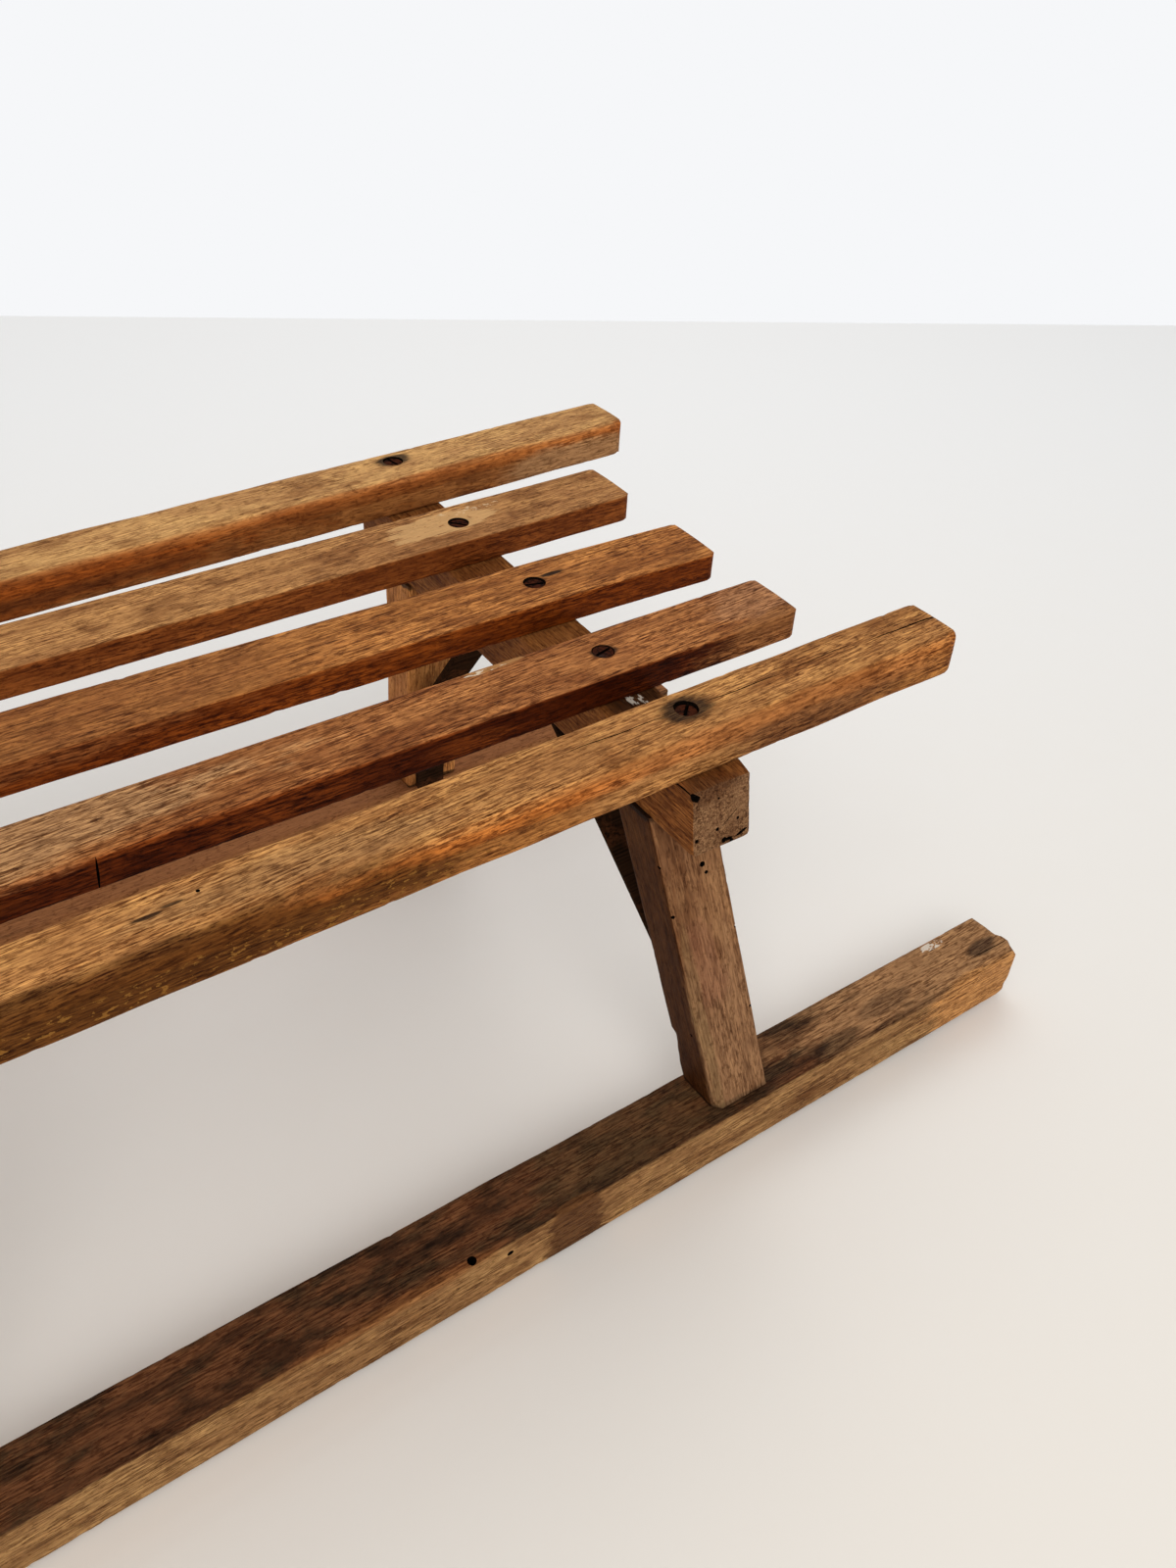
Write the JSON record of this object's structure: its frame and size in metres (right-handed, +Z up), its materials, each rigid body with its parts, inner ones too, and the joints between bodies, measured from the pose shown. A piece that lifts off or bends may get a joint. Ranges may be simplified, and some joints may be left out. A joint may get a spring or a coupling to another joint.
{
  "type": "slatted wooden sled",
  "caption": "Vintage slatted wooden sled with runners bent up at the front, splayed leg bridges, iron stays, steel shoes and a cross rod for the tow rope.",
  "frame": {"origin": "on the floor, under the middle of the sled's overall length and width", "axes": "+X forward, +Y to the sled's left, +Z up"},
  "size_m": [0.9123, 0.333, 0.2563],
  "materials": {
    "slat_wood": "worn oiled hardwood, honey to grey-brown",
    "bridge_wood": "weathered hardwood, grey-brown",
    "runner_wood": "weathered hardwood, dark on top, worn pale at the sides",
    "rod_wood": "turned hardwood, worn",
    "shoe_steel": "rubbed bare below, rusted at the edges",
    "stay_iron": "blackened strap iron"
  },
  "bodies": {
    "root": {"runner_left": "runner_wood", "runner_right": "runner_wood", "shoe_left": "shoe_steel", "shoe_right": "shoe_steel", "leg_rear_left": "bridge_wood", "leg_rear_right": "bridge_wood", "leg_front_left": "bridge_wood", "leg_front_right": "bridge_wood", "crossbeam_rear": "bridge_wood", "crossbeam_front": "bridge_wood", "stay_rear": "stay_iron", "stay_front": "stay_iron", "slat_outer_left": "slat_wood", "slat_outer_right": "slat_wood", "slat_inner_left": "slat_wood", "slat_middle": "slat_wood", "slat_inner_right": "slat_wood", "cross_rod": "rod_wood"}
  },
  "joints": []
}
